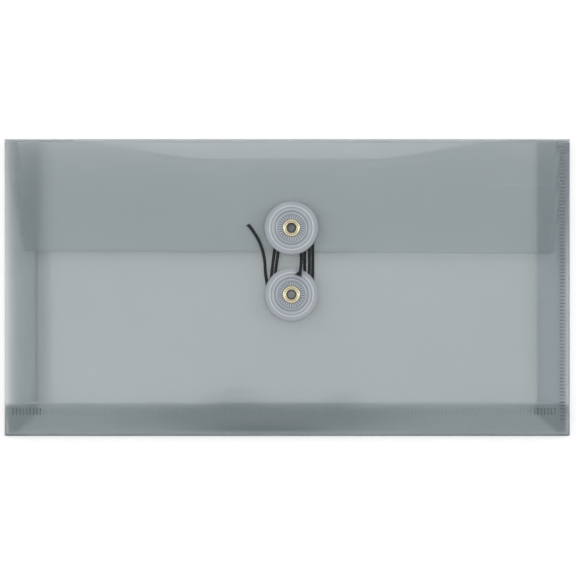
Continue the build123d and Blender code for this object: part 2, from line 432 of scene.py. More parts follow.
def paleness(p, normal):
    """How much painted light the film has at a point, from its distances to the folded edges."""
    distances = from_edges(p)
    pale = 0.0
    for edge, (most, reach, power) in PALE_EDGES.items():
        if edge in PALE_LOW:
            if distances["bottom"] < inner_hinge.x:
                most, reach, power = PALE_LOW[edge]
            top_share = PALE_TOP_SHARES[edge]
            share = top_share + (1 - top_share) * smooth_step(top_y, PALE_WHOLE_Y, p.y)
            most *= share
            reach *= share
        pale = max(pale, most * math.exp(-((max(distances[edge], 0) / reach) ** power)))
    return min(pale, 1.0)


def on_edge(p, normal):
    """How much of the film's thickness is seen on edge from the front."""
    return 1 - abs(normal.z)


def edge_line(p, normal):
    """The dark line that a folded edge shows, where the film is seen nearly on edge."""
    return min(1.0, EDGE_LINE * on_edge(p, normal) ** EDGE_LINE_POWER)


def nothing(p, normal):
    """For a look that a piece of film has none of."""
    return 0.0


def grid_faces(rows, columns):
    """The quads of a grid of points, counted row by row."""
    return [
        (r * columns + c, r * columns + c + 1, (r + 1) * columns + c + 1, (r + 1) * columns + c)
        for r in range(rows - 1)
        for c in range(columns - 1)
    ]


def film_sheet(name, points, faces, pale=nothing, dense=nothing, clear=nothing, material=film_material):
    """A closed sheet of film, half its thickness each side of a surface."""
    sheet = new_piece(name, points, faces, material)
    thick = sheet.modifiers.new("thickness", "SOLIDIFY")
    thick.thickness = film * MM
    thick.offset = 0
    thick.use_even_offset = True
    settle(sheet)
    paint(sheet, "pale", pale)
    paint(sheet, "dense", dense)
    paint(sheet, "clear", clear)
    return sheet


def film_strip(name, profile, span, place, steps, **looks):
    """A sheet swept along an edge. profile lists (distance in, height), span gives the ends of the
    strip at a distance in, and place turns (distance in, place along, height) to a point."""
    points = []
    for share in (n / steps for n in range(steps + 1)):
        for inward, height in profile:
            first, last = span(inward)
            points.append(place(inward, first + share * (last - first), height))
    return film_sheet(name, points, grid_faces(steps + 1, len(profile)), **looks)


def arc(centre, radius, first, last, steps):
    """Points of an arc between two angles in degrees."""
    angles = [math.radians(first + (last - first) * n / steps) for n in range(steps + 1)]
    return [(centre[0] + radius * math.cos(a), centre[1] + radius * math.sin(a)) for a in angles]


def line(first, last, steps):
    """Points of a straight run."""
    return [tuple(Vector(first).lerp(Vector(last), n / steps)) for n in range(steps + 1)]


# String: its route, from the tail's tip, round the upper neck, round both necks and out
STRING_DIAMETER = 1.4
STRING_LOW_Z = 8.0
STRING_RISE = 0.7
TIE_REACH = 3.9
TAIL_TURN = 2.7
RIGHT_STRANDS = (5.95, 8.05, 9.6)
LEFT_STRANDS_LOW = (8.9, 10.5, 10.6)
LEFT_STRANDS_HIGH = (4.15, 5.95)
# How far each turn lies above or below the line that rises from the lower neck to the upper one
TIE_LIFT = -0.45
UPPER_LIFTS = (0.55, 0.0)
LOWER_LIFTS = (-0.1, 0.6, -0.5)
ARC_STEP = 30.0
TAIL_ROUTE = [(5.75, 6.7, 11.4), (6.2, 9.6, 11.25), (6.35, 12.9, 9.6), (6.3, 16.0, 8.46), (6.25, 19.5, 8.55)]
FREE_ROUTE = [
    (-8.7, 1.0, 7.45),
    (-9.75, 5.6, 7.8),
    (-9.95, 11.2, 8.35),
    (-10.75, 16.0, 8.5),
    (-12.25, 20.3, 8.55),
    (-14.6, 24.5, 8.5),
    (-17.0, 27.7, 8.52),
]
button_spacing = upper_button.y - lower_button.y


def winding_point(x, y, lift):
    """A point of the winding, x across from the buttons' line and y up from the lower button."""
    z = STRING_LOW_Z + STRING_RISE * y / button_spacing + lift
    return (lower_button.x + x, lower_button.y + y, z)


def turn(x, y, radius, first, last, lift):
    """Control points of a turn round a centre: the corners of the polygon outside its arc."""
    steps = round(abs(last - first) / ARC_STEP)
    step = (last - first) / steps
    reach = radius / math.cos(math.radians(step / 2))
    angles = [math.radians(first + (n + 0.5) * step) for n in range(steps)]
    return [winding_point(x + reach * math.cos(a), y + reach * math.sin(a), lift) for a in angles]


def half_turn(x_from, x_to, y, over, lift):
    """A clockwise half turn between two strands, over the upper neck or under the lower one."""
    ends = (180, 0) if over else (0, -180)
    return turn((x_from + x_to) / 2, y, abs(x_to - x_from) / 2, *ends, lift)


def string_route():
    """All control points of the string's line."""
    route = list(TAIL_ROUTE)
    route += turn(TIE_REACH - TAIL_TURN, button_spacing - TIE_REACH - TAIL_TURN, TAIL_TURN, 0, 90, TIE_LIFT)
    route += turn(0, button_spacing, TIE_REACH, 270, 180, TIE_LIFT)
    route += half_turn(-TIE_REACH, RIGHT_STRANDS[0], button_spacing, True, TIE_LIFT)
    for n, right in enumerate(RIGHT_STRANDS):
        route += half_turn(right, -LEFT_STRANDS_LOW[n], 0, False, LOWER_LIFTS[n])
        if n < len(LEFT_STRANDS_HIGH):
            left = LEFT_STRANDS_HIGH[n]
            route += half_turn(-left, RIGHT_STRANDS[n + 1], button_spacing, True, UPPER_LIFTS[n])
    return route + FREE_ROUTE


def spline_points(route):
    """Points along the smooth line that has the route as its control points, in millimetres."""
    curve = bpy.data.curves.new("string_line", "CURVE")
    curve.dimensions = "3D"
    curve.resolution_u = 12
    spline = curve.splines.new("NURBS")
    spline.points.add(len(route) - 1)
    for point, place in zip(spline.points, route):
        point.co = (*(Vector(place) * MM), 1)
    spline.order_u = 3
    spline.use_endpoint_u = True
    carrier = add_object("string_line", curve)
    bpy.context.view_layer.update()
    mesh = bpy.data.meshes.new_from_object(carrier)
    points = [v.co / MM for v in mesh.vertices]
    bpy.data.objects.remove(carrier)
    return points


def evenly(points, step):
    """Points at even steps along a line."""
    lengths = [0.0]
    for a, b in zip(points, points[1:]):
        lengths.append(lengths[-1] + (b - a).length)
    count = round(lengths[-1] / step)
    spaced, at = [], 0
    for n in range(count + 1):
        target = lengths[-1] * n / count
        while at < len(points) - 2 and lengths[at + 1] < target:
            at += 1
        run = lengths[at + 1] - lengths[at]
        spaced.append(points[at].lerp(points[at + 1], (target - lengths[at]) / run if run else 0))
    return spaced, lengths[-1]


def frames_along(points):
    """A direction and two side vectors at each point, turning as little as they can."""
    ways = [(b - a).normalized() for a, b in zip(points, points[1:])]
    ways.append(ways[-1])
    side = ways[0].orthogonal().normalized()
    frames = []
    for way in ways:
        side = (side - way * side.dot(way)).normalized()
        frames.append((way, side, way.cross(side)))
    return frames


def tube_faces(rings, sides):
    """Quads of a tube and a cap at each end, for rings of points counted along it."""
    faces = []
    for r in range(rings - 1):
        for s in range(sides):
            n = (s + 1) % sides
            faces.append((r * sides + s, r * sides + n, (r + 1) * sides + n, (r + 1) * sides + s))
    faces.append(tuple(reversed(range(sides))))
    faces.append(tuple(range((rings - 1) * sides, rings * sides)))
    return faces


def section_point(centre, side, up, radius, angle):
    """A point of a round section, from its centre and two vectors across it."""
    return centre + radius * (side * math.cos(angle) + up * math.sin(angle))


def counted_from(first, faces):
    """The faces of one of many shapes in a mesh, whose points start at number first."""
    return [tuple(first + i for i in face) for face in faces]


def braid_height(turn_angle, along, lay, yarns):
    """How high the braid's surface stands there, from 0 in a gap to 1 on a yarn's crown."""
    twist = math.tau * along / lay
    right_hand = math.cos(yarns / 2 * (turn_angle + twist))
    left_hand = math.cos(yarns / 2 * (turn_angle - twist))
    return max(right_hand, left_hand, 0.0)


def braided_string(points):
    """The braided cord as one tube with its yarns standing out of it."""
    sides, lay, yarns, yarn_depth, mean_height = 24, 7.0, 8, 0.1, 0.6
    rings = []
    heights = []
    step = (points[1] - points[0]).length
    for n, (centre, (_, side, up)) in enumerate(zip(points, frames_along(points))):
        for s in range(sides):
            angle = math.tau * s / sides
            height = braid_height(angle, n * step, lay, yarns)
            radius = STRING_DIAMETER / 2 + yarn_depth * (height - mean_height)
            rings.append(section_point(centre, side, up, radius, angle))
            heights.append(height)
    piece = new_piece("string", rings, tube_faces(len(points), sides), string_material)
    # The braid's heights are kept for its painted highlight on the crowns and painted shade in the gaps
    yarn = piece.data.attributes.new("yarn", "FLOAT", "POINT")
    yarn.data.foreach_set("value", heights)
    return piece


def frayed_end(name, tip, way, seed, count, length, spread):
    """A brush of loose fibres that splay out of a cut end of the string."""
    draw = random.Random(seed)
    sides, rings, fibre_radius, fibre_taper = 6, 6, 0.16, 0.6
    set_back, bundle_share, shortest_share = 0.6, 0.8, 0.55
    sway_across, sway_over, lightness = 0.2, 0.12, 0.8
    across = way.orthogonal().normalized()
    over = way.cross(across)
    points, faces = [], []
    for _ in range(count):
        angle = draw.uniform(0, math.tau)
        out = math.sqrt(draw.random())
        aside = across * math.cos(angle) + over * math.sin(angle)
        start = tip - way * set_back + aside * out * bundle_share * STRING_DIAMETER / 2
        reach = length * draw.uniform(shortest_share, 1.0)
        sway = across * draw.uniform(-sway_across, sway_across)
        sway += over * draw.uniform(-sway_over, sway_over)
        lean = aside * out * spread + sway
        line_points = []
        for n in range(rings):
            t = n / (rings - 1)
            line_points.append(start + way * reach * t + lean * reach * t * t)
        first = len(points)
        for n, (centre, (_, side, up)) in enumerate(zip(line_points, frames_along(line_points))):
            radius = fibre_radius * (1 - fibre_taper * n / (rings - 1))
            for s in range(sides):
                points.append(section_point(centre, side, up, radius, math.tau * s / sides))
        faces += counted_from(first, tube_faces(rings, sides))
    piece = new_piece(name, points, faces, string_material)
    paint(piece, "yarn", lambda p, normal: lightness)
    return piece


RING_STEP = 0.24
# A frayed end points as the string's last few rings do, and the tail's leans to the left
END_RINGS = 4
TAIL_LEAN = Vector((-0.3, 0, 0))
string_line, string_length = evenly(spline_points(string_route()), RING_STEP)
string = braided_string(string_line)
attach(string, "flap_leaf")
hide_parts("string_winding", "string_free_end", "string_tail")
tail_way = ((string_line[0] - string_line[END_RINGS]).normalized() + TAIL_LEAN).normalized()
free_way = (string_line[-1] - string_line[-1 - END_RINGS]).normalized()
tail_fray = frayed_end(
    "string_tail_fray", string_line[0], tail_way, seed=3, count=44, length=2.5, spread=0.7
)
free_fray = frayed_end(
    "string_free_fray", string_line[-1], free_way, seed=8, count=24, length=1.7, spread=0.4
)
for fray in (tail_fray, free_fray):
    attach(fray, "flap_leaf")


# Seam laps keep their CAD solids
for node in ("bottom_seam_lap", "side_seam_lap"):
    frame["nodes"][node].data.materials.clear()
    frame["nodes"][node].data.materials.append(lap_material)


# Panels with an eyelet hole
HOLE_CELL = 1.6
HOLE_CELLS = 3
CUT_EDGE = 0.3


def axis_lines(low, high, step, centre=None):
    """Grid lines from low to high about step apart, with finer ones round a hole's centre."""
    if centre is None:
        count = max(1, round((high - low) / step))
        return [low + (high - low) * n / count for n in range(count + 1)]
    block = HOLE_CELL * HOLE_CELLS
    near = [centre + HOLE_CELL * n for n in range(-HOLE_CELLS, HOLE_CELLS + 1)]
    before = axis_lines(low + CUT_EDGE, centre - block, step)[:-1]
    after = axis_lines(centre + block, high - CUT_EDGE, step)[1:]
    return [low] + before + near + after + [high]


def holed_panel(xs, ys, hole, hole_radius, place):
    """Points and quads of a grid panel with a round hole. place turns a grid point to x and y."""
    block = HOLE_CELL * HOLE_CELLS
    tiny = HOLE_CELL / 100

    def inside(x, y):
        return abs(x - hole[0]) < block - tiny and abs(y - hole[1]) < block - tiny

    def angle_of(k):
        return math.atan2(k[1] - hole[1], k[0] - hole[0])

    points, index = [], {}
    for y in ys:
        for x in xs:
            if not inside(x, y):
                index[x, y] = len(points)
                points.append(Vector(place(x, y)))
    faces = []
    for y, y_next in zip(ys, ys[1:]):
        for x, x_next in zip(xs, xs[1:]):
            if not inside((x + x_next) / 2, (y + y_next) / 2):
                faces.append((index[x, y], index[x_next, y], index[x_next, y_next], index[x, y_next]))
    rim = [k for k in index if max(abs(k[0] - hole[0]), abs(k[1] - hole[1])) < block + tiny]
    rim.sort(key=angle_of)
    loop = [index[k] for k in rim]
    rings = 3
    for ring in range(1, rings + 1):
        inner = []
        for k in rim:
            outer_point = points[index[k]]
            angle = angle_of(k)
            edge = Vector((hole[0] + hole_radius * math.cos(angle), hole[1] + hole_radius * math.sin(angle)))
            inner.append(len(points))
            points.append(outer_point.lerp(edge, ring / rings))
        for n in range(len(rim)):
            after = (n + 1) % len(rim)
            faces.append((loop[n], loop[after], inner[after], inner[n]))
        loop = inner
    return points, faces


# Painted shade on the film behind an eyelet, seen down its bore: how much, how far out, how sharply
EYELET_BORE_SHADE = 1.0
EYELET_BORE_SHADE_REACH = 3.4
EYELET_BORE_SHADE_POWER = 4


def bore_shade(p, centre):
    """How much painted shade the film has at a point behind a button's eyelet."""
    away = radius_from(p, centre) / EYELET_BORE_SHADE_REACH
    return EYELET_BORE_SHADE * math.exp(-(away**EYELET_BORE_SHADE_POWER))


# Back panel: a flat sheet between the gussets' bends, as wide as the fold along its top edge
PANEL_STEP = 2.0
BACK_STEP = 4.0
SHOULDER = 0.05
back_mid_z = back_low.z + half_film
shoulder_y = side_gusset_high.y
back_columns = axis_lines(front_low.x, front_high.x, BACK_STEP, lower_button.x)
back_rows = axis_lines(back_low.y, shoulder_y, BACK_STEP, lower_button.y)
back_points = [(x, y, back_mid_z) for y in back_rows for x in back_columns]
for y in (shoulder_y + SHOULDER, back_high.y):
    back_points += [(x * side_x / front_high.x, y, back_mid_z) for x in back_columns]
# The back film carries painted shade behind the lower eyelet
back_sheet = film_sheet(
    "back_film",
    back_points,
    grid_faces(len(back_rows) + 2, len(back_columns)),
    dense=lambda p, normal: bore_shade(p, lower_button),
)
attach(back_sheet, "back")
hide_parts("back_panel")


# The flap tapers to its rounded lower corners, and hangs a trace lower at the right
FLAP_TAPERS = {"left": 7.4, "right": 6.4}
FLAP_CORNER = 2.8
FLAP_CORNER_STEP = 15
FLAP_SKEW = 0.0055


def flap_edge_y(x):
    """The height of the flap's lower edge."""
    return flap_low.y - FLAP_SKEW * (x - upper_button.x)


# Front panel: its top edge dips in a shallow thumb scoop with soft ends
SCOOP_HALF_WIDTH = 94.0
SCOOP_DEPTH = 8.3
SCOOP_SHIFT = 1.3
SCOOP_FLAT_SHARE = 0.35
SCOOP_END_SHARE = 1.08
SCOOP_FROM_Y = 30.0
EYELET_BORE = 2.55


def front_place(x, y):
    """Where a grid point of the front panel lies: rows near the top follow the scoop."""
    share = abs(x - SCOOP_SHIFT) / SCOOP_HALF_WIDTH
    dip = SCOOP_DEPTH * smooth_step(SCOOP_END_SHARE, SCOOP_FLAT_SHARE, share)
    lift = max(0, (y - SCOOP_FROM_Y) / (front_high.y - SCOOP_FROM_Y))
    return (x, y - dip * lift)


# Patches of painted shade on the front: middle, half width and half height, strength
SHADE_PATCHES = [
    ((-24.0, -49.0), (13.0, 5.5), 0.25),
    ((24.5, -50.0), (7.0, 4.5), 0.2),
    ((-8.0, -58.5), (62.0, 7.0), 0.5),
    ((-12.0, -63.3), (30.0, 1.8), 0.4),
]
# Soft shade past a side gusset's inner crease: how much and where it ends, where it is whole, and
# over what height it comes in above the bottom gusset
GUSSET_SHADE = {"left": (0.6, 23.5), "right": (0.15, 22.0)}
GUSSET_SHADE_FROM = 16.0
GUSSET_SHADE_FADE = 2.0
# Shade of the bottom gusset's layers on the front, and of their crease
BAND_SHADE = 0.18
BAND_SHADE_FADE = 5.0
CREASE_SHADE = 0.08
CREASE_SHADE_REACH = 3.0
# Shade of the scooped cut edge
CUT_SHADE = 0.6
# Painted shade along the side edges towards the mouth: how much, how far in, from where up
MOUTH_SHADE = {"left": 0.15, "right": 0.5}
MOUTH_SHADE_WIDTH = 7.0
MOUTH_SHADE_FADE = 2.0
MOUTH_SHADE_ENDS = (-8.0, 32.0)
# Shade under the flap's lower edge: how much, and how far down it fades
FLAP_SHADE = 0.4
FLAP_SHADE_REACH = 2.2


def front_shade(p, normal):
    """How dense the front panel looks, with painted shade: on its cut edges, beside folds, under the flap,
    behind the upper eyelet, towards the mouth and in patches.
    """
    cut_edge = CUT_SHADE * on_edge(p, normal) if p.y > SCOOP_FROM_Y else 0.0
    dense = cut_edge + bore_shade(p, upper_button)
    inward = from_edges(p)
    above_band = inward["bottom"] - inner_hinge.x
    dense += BAND_SHADE * smooth_step(0, -BAND_SHADE_FADE, above_band)
    dense += CREASE_SHADE * math.exp(-((above_band / CREASE_SHADE_REACH) ** 2))
    for side, (most, end) in GUSSET_SHADE.items():
        if inward[side] > inner_hinge.x + crease_outer:
            most *= smooth_step(0, GUSSET_SHADE_FADE, above_band)
            dense += most * smooth_step(end, GUSSET_SHADE_FROM, inward[side])
        near = smooth_step(MOUTH_SHADE_WIDTH, MOUTH_SHADE_WIDTH - MOUTH_SHADE_FADE, inward[side])
        dense += MOUTH_SHADE[side] * near * smooth_step(*MOUTH_SHADE_ENDS, p.y)
    below_flap = flap_edge_y(p.x) - p.y
    if below_flap > 0:
        dense += FLAP_SHADE * math.exp(-below_flap / FLAP_SHADE_REACH)
    for (x, y), (half_width, half_height), strength in SHADE_PATCHES:
        away = ((p.x - x) / half_width) ** 2 + ((p.y - y) / half_height) ** 2
        dense += strength * math.exp(-away * away)
    return min(dense, 1.0)


front_points, front_faces = holed_panel(
    axis_lines(front_low.x, front_high.x, PANEL_STEP, lower_button.x),
    axis_lines(front_low.y, front_high.y, PANEL_STEP, lower_button.y),
    (lower_button.x, lower_button.y),
    EYELET_BORE,
    front_place,
)
front_sheet = film_sheet(
    "front_film", [(p.x, p.y, front_mid_z) for p in front_points], front_faces, paleness, front_shade
)
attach(front_sheet, "front")
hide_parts("front_panel")

# Flap: a fine dark line along its lower edge, painted light towards the fold, painted shade over the side
# gussets and clear margins at its sides
FLAP_LINE = 0.28
FLAP_HAZE = 0.05
FLAP_LINE_WIDTH = 0.4
# Painted light towards the fold: how much, how much at the right, where it changes and how far down it
# reaches
FLAP_PALE = 0.36
FLAP_PALE_RIGHT = 0.2
FLAP_PALE_RIGHT_ENDS = (30.0, 90.0)
FLAP_PALE_REACH = 11.0
# Painted shade over the side gussets: how much, how far in from each side, and over what width it fades
FLAP_SIDE_SHADE = 0.4
FLAP_SIDE_SHADE_ENDS = {"left": 18.0, "right": 16.0}
FLAP_SIDE_SHADE_FADE = 2.0
FLAP_CLEAR = 0.88
FLAP_CLEAR_FROM = 4.6
FLAP_CLEAR_TO = {"left": 7.0, "right": 5.6}
FLAP_CLEAR_WIDTHS = {"left": 3.4, "right": 0.9}
# A faint painted highlight line across the flap's right end: height, half its width, ends and strength
HIGHLIGHT_LINE_Y = 46.3
HIGHLIGHT_LINE_WIDTH = 0.35
HIGHLIGHT_LINE_ENDS = (88.0, 100.0)
HIGHLIGHT_LINE_PALE = 0.05


def flap_inset(y, side):
    """How far a slanted side edge of the flap lies in from the envelope's side at a height."""
    return FLAP_TAPERS[side] * (top_y - y) / (top_y - flap_low.y)


def flap_half_width(y, side):
    """The flap's width from its middle to a side at a height, less the lower corner's rounding."""
    width = side_x - flap_inset(y, side)
    up = y - flap_low.y
    if up < FLAP_CORNER:
        width -= FLAP_CORNER - math.sqrt(FLAP_CORNER**2 - (FLAP_CORNER - up) ** 2)
    return width


def flap_place(x, y):
    """Where a grid point of the flap lies, from a grid as wide as the flap is at its button."""
    side = side_of(x)
    moved = x * flap_half_width(y, side) / flap_half_width(upper_button.y, side)
    down = (flap_high.y - y) / (flap_high.y - flap_low.y)
    return (moved, y - FLAP_SKEW * (moved - upper_button.x) * down)


def flap_density_and_shade(p, normal):
    """How dense the flap looks: a faint haze all over, a line along its lower edge, and painted shade over
    the side gussets.
    """
    shade_end = FLAP_SIDE_SHADE_ENDS[side_of(p.x)]
    side_shade = FLAP_SIDE_SHADE * smooth_step(shade_end, shade_end - FLAP_SIDE_SHADE_FADE, from_side(p))
    up = max(p.y - flap_edge_y(p.x), 0)
    return FLAP_HAZE + side_shade + FLAP_LINE * math.exp(-up / FLAP_LINE_WIDTH)


def flap_paleness(p, normal):
    """How much painted light the flap has: more towards its fold, and on a painted highlight line."""
    highlight_line = HIGHLIGHT_LINE_PALE * smooth_step(HIGHLIGHT_LINE_WIDTH, 0, abs(p.y - HIGHLIGHT_LINE_Y)) * smooth_step(*HIGHLIGHT_LINE_ENDS, p.x)
    most = FLAP_PALE + (FLAP_PALE_RIGHT - FLAP_PALE) * smooth_step(*FLAP_PALE_RIGHT_ENDS, p.x)
    return most * math.exp((p.y - top_y) / FLAP_PALE_REACH) + highlight_line


def flap_clearness(p, normal):
    """How clear the flap is: its slanted side margins lie tight on the film below."""
    side = side_of(p.x)
    inset = flap_inset(p.y, side)
    none_from = max(inset + FLAP_CLEAR_WIDTHS[side], FLAP_CLEAR_TO[side])
    most_from = max(inset, FLAP_CLEAR_FROM)
    return FLAP_CLEAR * smooth_step(none_from, most_from, from_side(p))


corner_angles = range(0, 90, FLAP_CORNER_STEP)
corner_rows = [flap_low.y + FLAP_CORNER * (1 - math.cos(math.radians(a))) for a in corner_angles]
highlight_line_rows = [HIGHLIGHT_LINE_Y - HIGHLIGHT_LINE_WIDTH, HIGHLIGHT_LINE_Y, HIGHLIGHT_LINE_Y + HIGHLIGHT_LINE_WIDTH]
plain_rows = axis_lines(flap_low.y + FLAP_CORNER, flap_high.y, PANEL_STEP, upper_button.y)
flap_rows = corner_rows + sorted(plain_rows + highlight_line_rows)
flap_points, flap_faces = holed_panel(
    axis_lines(
        -flap_half_width(upper_button.y, "left"),
        flap_half_width(upper_button.y, "right"),
        PANEL_STEP,
        upper_button.x,
    ),
    flap_rows,
    (upper_button.x, upper_button.y),
    EYELET_BORE,
    flap_place,
)
flap_sheet = film_sheet(
    "flap_film",
    [(p.x, p.y, flap_mid_z) for p in flap_points],
    flap_faces,
    flap_paleness,
    flap_density_and_shade,
    flap_clearness,
)
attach(flap_sheet, "flap_leaf")
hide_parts("flap")

# Fold: rises from the back panel in one bend and a low wall, and bends over into the flap
fold_y = flap_high.y
fold_radius = top_y - half_film - fold_y
low_fold = (fold_y, back_low.z + half_film + fold_radius)
high_fold = (fold_y, flap_mid_z - fold_radius)
BEND_STEPS = 10
WIDTH_STEPS = 40
# The fold is painted paler between its ends, as painted light: how much, from where to where
FOLD_PALE = 0.42
FOLD_PALE_ENDS = (112.0, 95.0)


def fold_paleness(p, normal):
    """How much painted light the fold has along its length."""
    return FOLD_PALE * smooth_step(*FOLD_PALE_ENDS, abs(p.x))


def fold_place(y, along, z):
    """A point of the fold: distance in is y itself there."""
    return (along, y, z)


def fold_film(name, profile):
    """A strip of the fold, made from its profile and fixed where it lies."""
    strip = film_strip(
        name, profile, lambda y: (-side_x, side_x), fold_place, WIDTH_STEPS, pale=fold_paleness
    )
    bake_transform(strip)
    return strip


wall_y = fold_y + fold_radius
rise_profile = arc(low_fold, fold_radius, -90, 0, BEND_STEPS)
rise_profile += line((wall_y, low_fold[1]), (wall_y, high_fold[1]), BEND_STEPS)[1:]
over_profile = arc(high_fold, fold_radius, 0, 90, BEND_STEPS)
fold_rise = fold_film(
    "fold_rise_film", rise_profile
)
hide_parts("fold_lower_bend", "fold_wall")
fold_over = fold_film(
    "fold_over_film", over_profile
)
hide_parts("fold_upper_bend")


# Gussets: each has a rear half and a front half, an inner bend between them and an outer
# bend to the back and the front panel
link = inner_hinge - outer_hinge
link_angle = math.degrees(math.atan2(link.y, link.x))
half_slope = link_angle - math.degrees(math.asin(2 * crease_radius / link.length))
GUSSET_STEPS = 24
HALF_STEPS = 8
CORNER_GAP = 0.15
BAND_GAP = 0.25
# The gussets' film may be thinned at the inner crease: how clear it is there, and over what width
CREASE_CLEAR = {"left": 0.1, "right": 0.0, "bottom": 0.4}
CREASE_WIDTH = 2.5
# The middle of an inner crease may be pressed sharp, which shows as a dark line
CREASE_LINE = {"left": 0.0, "right": 0.0, "bottom": 0.4}
CREASE_LINE_ENDS = (38.0, 26.0)
# How much of the front's paleness each gusset's outer bends have
EDGE_PALE_SHARES = {"left": 1.0, "right": 0.55, "bottom": 0.0}


def mirrored(profile):
    """A profile turned over about the height of the inner hinge, in the other order."""
    return [(d, 2 * inner_hinge.y - z) for d, z in reversed(profile)]


outer_rear = arc(outer_hinge, crease_radius, 270, half_slope + 90, BEND_STEPS)
inner_bend = arc(inner_hinge, crease_radius, half_slope - 90, 90 - half_slope, BEND_STEPS)
rear_half = line(outer_rear[-1], inner_bend[0], HALF_STEPS)
bottom_reach = node_box("bottom_gusset_rear")[1].x


# Where a point of each gusset lies, from its distance in, its place along the edge and its height
def left_place(inward, along, z):
    return (inward - side_x, along, z)


def right_place(inward, along, z):
    return (side_x - inward, along, z)


def bottom_place(inward, along, z):
    return (along, inward - top_y, z)


def side_bend_span(inward):
    """The outer bends of a side gusset run right down into the corner."""
    return (CORNER_GAP - top_y, side_gusset_high.y)


def side_half_span(inward):
    """A side gusset's halves end just above the bottom gusset, with a mitre near the corner."""
    above_band = inner_hinge.x + crease_outer + BAND_GAP - top_y
    return (min(side_gusset_low.y + inward, above_band), side_gusset_high.y)


def bottom_half_span(inward):
    """The bottom gusset's halves run between the side gussets."""
    return (-bottom_reach, bottom_reach)


def bottom_bend_span(inward):
    """The outer bends of the bottom gusset end against those of the side gussets."""
    reach = side_x - outer_hinge.x - CORNER_GAP
    return (-reach, reach)


def gusset(name, place, half_span, bend_span, front_joined, material):
    """All the film of one gusset: its halves ride on their bodies, and a front bend that is not joined rides
    on the front.
    """
    rear_body, front_body = f"{name}_rear", f"{name}_front"

    def crossing(hinge):
        """Two points a bend's inside apart, below and above a hinge line."""
        reach = crease_radius - half_film
        low = Vector(place(hinge.x, 0, hinge.y - reach)) * MM
        high = Vector(place(hinge.x, 0, hinge.y + reach)) * MM
        return low, high

    def edge_pale(p, normal):
        return EDGE_PALE_SHARES[name] * paleness(p, normal)

    def crease_clearness(p, normal):
        inward = min(from_side(p), p.y + top_y)
        return CREASE_CLEAR[name] * smooth_step(inner_hinge.x - CREASE_WIDTH, inner_hinge.x, inward)

    def crease_line(p, normal):
        return CREASE_LINE[name] * smooth_step(*CREASE_LINE_ENDS, abs(p.x))

    def bend_clearness(p, normal):
        return crease_clearness(p, normal) * (1 - crease_line(p, normal))

    def strip(part, profile, span, **looks):
        return film_strip(f"{name}_{part}", profile, span, place, GUSSET_STEPS, material=material, **looks)

    rear = strip("rear_film", rear_half, half_span, clear=crease_clearness)
    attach(rear, rear_body)
    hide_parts(f"{name}_gusset_rear")
    front = strip("front_film", mirrored(rear_half), half_span, clear=crease_clearness)
    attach(front, front_body)
    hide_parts(f"{name}_gusset_front")

    back_bend = strip("back_bend", outer_rear, bend_span, pale=edge_pale, dense=edge_line)
    start, end = crossing(outer_hinge)
    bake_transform(back_bend)

    inside_bend = strip("inner_bend", inner_bend, half_span, dense=crease_line, clear=bend_clearness)
    start, end = crossing(inner_hinge)
    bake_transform(inside_bend)

    front_bend = strip("front_bend", mirrored(outer_rear), bend_span, pale=edge_pale, dense=edge_line)
    if front_joined:
        front_hinge = Vector((outer_hinge.x, 2 * inner_hinge.y - outer_hinge.y))
        start, end = crossing(front_hinge)
        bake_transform(front_bend)
    else:
        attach(front_bend, "front")


gusset("left", left_place, side_half_span, side_bend_span, True, film_material)
gusset("right", right_place, side_half_span, side_bend_span, False, seam_material)
gusset("bottom", bottom_place, bottom_half_span, bottom_bend_span, False, film_material)


# Corner tucks: the folded ends of the side gussets, one layer on the back panel and one that
# hangs under the front panel, below its side lap
TUCK_IN = 1.6
TUCK_TOP = 14.2
TUCK_REACH = 15.4
TUCK_FOOT = 4.8
TUCK_SLOPE = 1.25
TUCK_STEPS = 12
TUCK_GAP = 0.04
TUCK_CLING = 0.75
TUCK_FOLD_LINE = 0.25
TUCK_FOLD_WIDTH = 4.0
lap_low_z = node_box("side_seam_lap")[0].z
tuck_levels = {"back": back_high.z + half_film + TUCK_GAP, "front": lap_low_z - half_film - TUCK_GAP}


def tuck_reach(up):
    """How far in a tuck reaches at a height over the bottom edge."""
    return min(TUCK_REACH, TUCK_FOOT + TUCK_SLOPE * (up - TUCK_IN))


def tuck_density(p, normal):
    """A tuck is densest along its diagonal fold."""
    short_of_fold = tuck_reach(p.y + top_y) - from_side(p)
    return TUCK_CLING + TUCK_FOLD_LINE * math.exp(-max(short_of_fold, 0) / TUCK_FOLD_WIDTH)


def corner_tuck(name, place):
    """Triangles of film in a lower corner, cut off along the fold's diagonal."""
    for body, z in tuck_levels.items():
        points = []
        for row in range(TUCK_STEPS + 1):
            up = TUCK_IN + (TUCK_TOP - TUCK_IN) * row / TUCK_STEPS
            reach = tuck_reach(up)
            for column in range(TUCK_STEPS + 1):
                inward = TUCK_IN + (reach - TUCK_IN) * column / TUCK_STEPS
                points.append(place(inward, up - top_y, z))
        tuck = film_sheet(
            f"{name}_{body}", points, grid_faces(TUCK_STEPS + 1, TUCK_STEPS + 1), dense=tuck_density
        )
        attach(tuck, body)


corner_tuck("left_corner_tuck", left_place)
corner_tuck("right_corner_tuck", right_place)


# Weld marks: the ribbed tool's short bars along the side seam and the bottom seam
WELD_PITCH = 1.53
WELD_BAR = 0.65
WELD_HEIGHT = 0.1
SIDE_WELD = (2.1, 4.6)
BOTTOM_WELD = (9.5, 12.7)
WELD_START = 3.2
WELD_END_REACH = 19.5
WELD_DENSE = 0.9
# How hard each seam is pressed, and how far from a corner or an end the pressing changes
SIDE_PRESS = 0.4
SIDE_PRESS_ENDS = (4.0, 9.0)
BOTTOM_PRESS = 0.05
BOTTOM_END_PRESS = 0.45
BOTTOM_PRESS_FADE = 4.0
